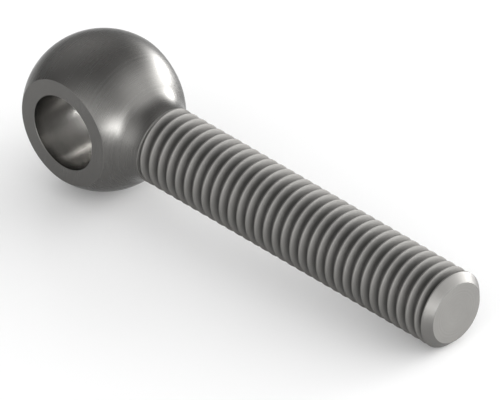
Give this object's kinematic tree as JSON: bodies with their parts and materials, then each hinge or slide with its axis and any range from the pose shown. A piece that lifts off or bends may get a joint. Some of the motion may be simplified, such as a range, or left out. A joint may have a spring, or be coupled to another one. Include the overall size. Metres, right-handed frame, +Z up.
{
  "type": "swing eye bolt",
  "caption": "Steel swing bolt: a flat-sided ball eye with a cross bore for a hinge pin, a short concave neck and a round shank for a clamping nut.",
  "frame": {"origin": "centre of the eye, on the axis of its bore, midway between its two flat faces", "axes": "+X along the bolt's axis towards the tip; +Y along the bore's axis, square to the eye's flat faces; +Z up as the bolt lies on the side of its ball and its tip, as in the picture"},
  "size_m": [0.07, 0.014, 0.02],
  "materials": {
    "steel": "plain turned and milled steel, dark grey satin"
  },
  "bodies": {
    "root": {"swing_eye_bolt": "steel"}
  },
  "joints": []
}
